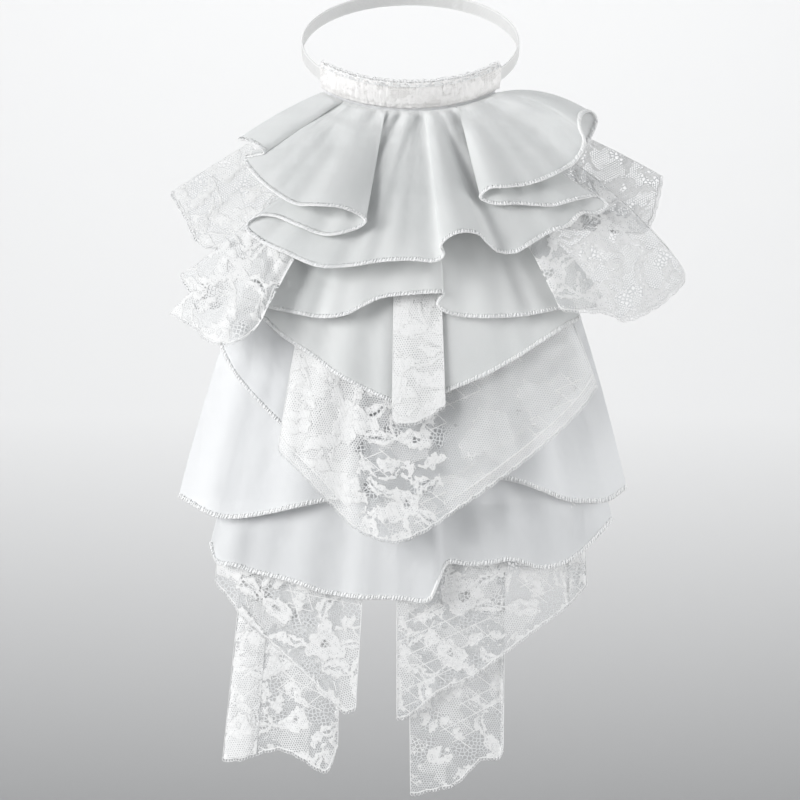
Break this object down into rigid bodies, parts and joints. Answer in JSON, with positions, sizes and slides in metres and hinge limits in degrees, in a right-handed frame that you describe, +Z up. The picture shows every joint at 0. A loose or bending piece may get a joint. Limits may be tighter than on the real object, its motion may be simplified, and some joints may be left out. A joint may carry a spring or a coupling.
{
  "type": "ruffled jabot collar",
  "caption": "White jabot collar: a lace-covered neckband on an elastic strap, with a cascade of chiffon ruffles, floral lace ruffles and hanging lace tails",
  "frame": {"origin": "the centre of the neck opening, where the collar sits on the neck", "axes": "+Z up, the wearer faces -Y, +X to the right of the picture, which is the wearer's left"},
  "size_m": [0.3374, 0.1834, 0.5334],
  "materials": {
    "chiffon": "sheer matt white chiffon, overlocked hems",
    "lace": "white floral lace on a fine hexagonal net",
    "band_lace": "gathered white lace over a padded band",
    "elastic": "flat woven white elastic"
  },
  "bodies": {
    "root": {"neck_band": "band_lace", "elastic_strap": "elastic", "long_ruffle": "chiffon", "wide_ruffle": "chiffon", "v_under_ruffle": "chiffon", "v_lace": "lace", "v_ruffle": "chiffon", "centre_lace_tab": "lace", "short_ruffle": "chiffon", "upper_lace": "lace", "side_lace": "lace", "top_ruffle": "chiffon", "left_wide_lace": "lace", "right_wide_lace": "lace", "left_long_tail": "lace", "right_long_tail": "lace"}
  },
  "joints": []
}
